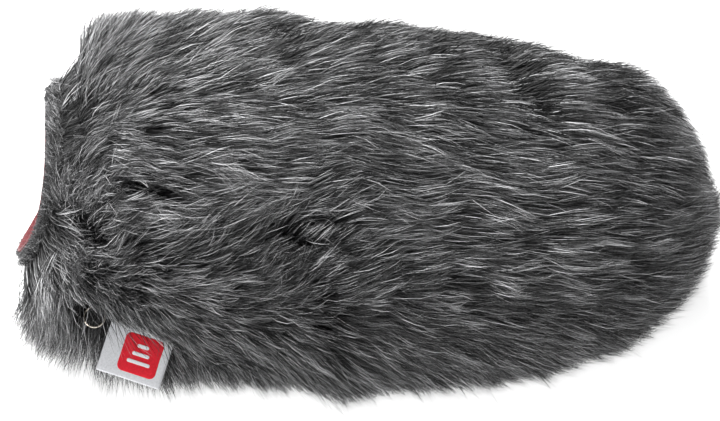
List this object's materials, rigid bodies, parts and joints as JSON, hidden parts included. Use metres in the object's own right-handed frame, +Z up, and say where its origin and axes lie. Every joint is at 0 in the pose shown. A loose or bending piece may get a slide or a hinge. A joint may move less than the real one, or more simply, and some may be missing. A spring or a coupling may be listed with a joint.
{
  "type": "furry windscreen",
  "caption": "Slip-on long-pile fabric wind cover with an elastic mouth, a closed rounded nose, a folded side label and a small wire ring.",
  "frame": {"origin": "centre of the mouth opening, at the elastic's front edge", "axes": "+X along the sleeve from the mouth to the closed nose, +Z up as it lies; the side seam with the label is 23 degrees below -Y"},
  "size_m": [0.2092, 0.1168, 0.108],
  "materials": {
    "knit_backing": "matte knit",
    "fur_neck": "long synthetic pile, dark at the root and silver at the tip",
    "fur_sleeve": "long synthetic pile, dark at the root and silver at the tip",
    "fur_nose": "long synthetic pile, dark at the root and silver at the tip",
    "seam_cloth": "matte cut edge",
    "thread_black": "sewing thread",
    "elastic_red": "ribbed woven elastic",
    "overlock_thread": "bulked overlocking thread",
    "thread_red": "sewing thread",
    "label_satin": "silver-white woven satin",
    "patch_red": "woven red",
    "mark_white": "woven white",
    "tab_ribbon": "black grosgrain ribbon",
    "ring_wire": "polished plated wire"
  },
  "bodies": {
    "cover": {"sleeve_backing": "knit_backing", "nose_backing": "knit_backing", "neck_pile": "fur_neck", "sleeve_pile": "fur_sleeve", "nose_pile": "fur_nose", "side_seam_allowance": "seam_cloth", "nose_seam_allowance": "seam_cloth", "side_seam_stitches": "thread_black", "nose_seam_stitches": "thread_black", "mouth_elastic": "elastic_red", "mouth_overlock": "overlock_thread", "elastic_zigzag": "thread_red", "label_bartack": "thread_black"},
    "label": {"woven_label": "label_satin", "label_patch": "patch_red", "label_mark": "mark_white"},
    "tab": {"ring_tab": "tab_ribbon"},
    "ring": {"wire_ring": "ring_wire"}
  },
  "joints": [
    {"name": "label_flap", "type": "hinge", "parent": "cover", "child": "label", "pos_m": [0.028, -0.0359, -0.01524], "axis": [0.9641, -0.2444, -0.1038], "range_deg": [-30, 30], "stiffness_Nm_per_rad": 0.001},
    {"name": "tab_flap", "type": "hinge", "parent": "cover", "child": "tab", "pos_m": [0.0214, -0.03231, -0.01371], "axis": [1, 0, 0], "range_deg": [-12, 12], "stiffness_Nm_per_rad": 0.0005},
    {"name": "ring_swing", "type": "hinge", "parent": "tab", "child": "ring", "pos_m": [0.0214, -0.03636, -0.01543], "axis": [1, 0, 0], "range_deg": [-30, 30]}
  ]
}
